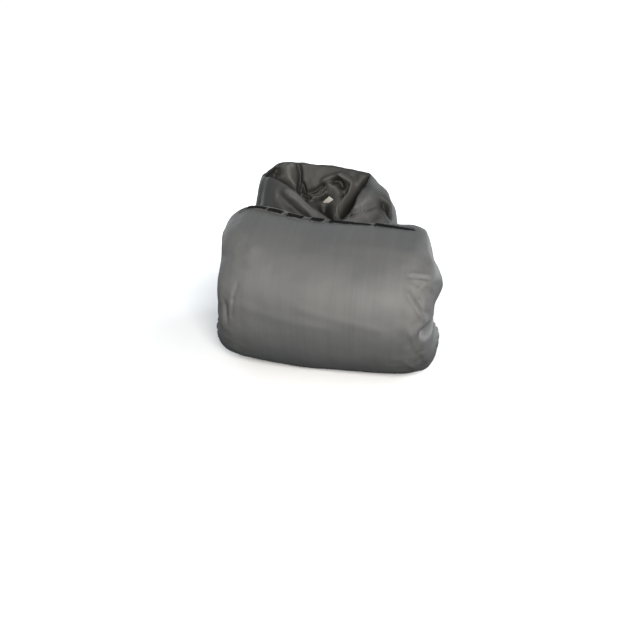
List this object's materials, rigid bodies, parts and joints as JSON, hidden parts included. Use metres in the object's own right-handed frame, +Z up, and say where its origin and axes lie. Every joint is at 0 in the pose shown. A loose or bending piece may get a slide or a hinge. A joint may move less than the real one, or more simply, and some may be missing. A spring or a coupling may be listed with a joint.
{
  "type": "packed vehicle cover",
  "caption": "Grey cloth vehicle cover packed away as a thick roll with tucked ends, its elastic hem along the crest and its last end gathered behind like the mouth of a sack.",
  "frame": {"origin": "middle of the bounding box on the floor", "axes": "+X along the roll towards its right end as seen from the front, +Y from the roll towards the gathered end, +Z up"},
  "size_m": [0.4416, 0.4152, 0.331],
  "materials": {
    "cloth": "matte coated polyester weave",
    "elastic": "matte knitted elastic",
    "label": "matte woven tape"
  },
  "bodies": {
    "root": {"cover_cloth": "cloth", "hem_elastic_1": "elastic", "hem_elastic_2": "elastic", "hem_elastic_3": "elastic", "hem_elastic_4": "elastic", "hem_elastic_5": "elastic", "hem_elastic_6": "elastic", "care_label": "label"}
  },
  "joints": []
}
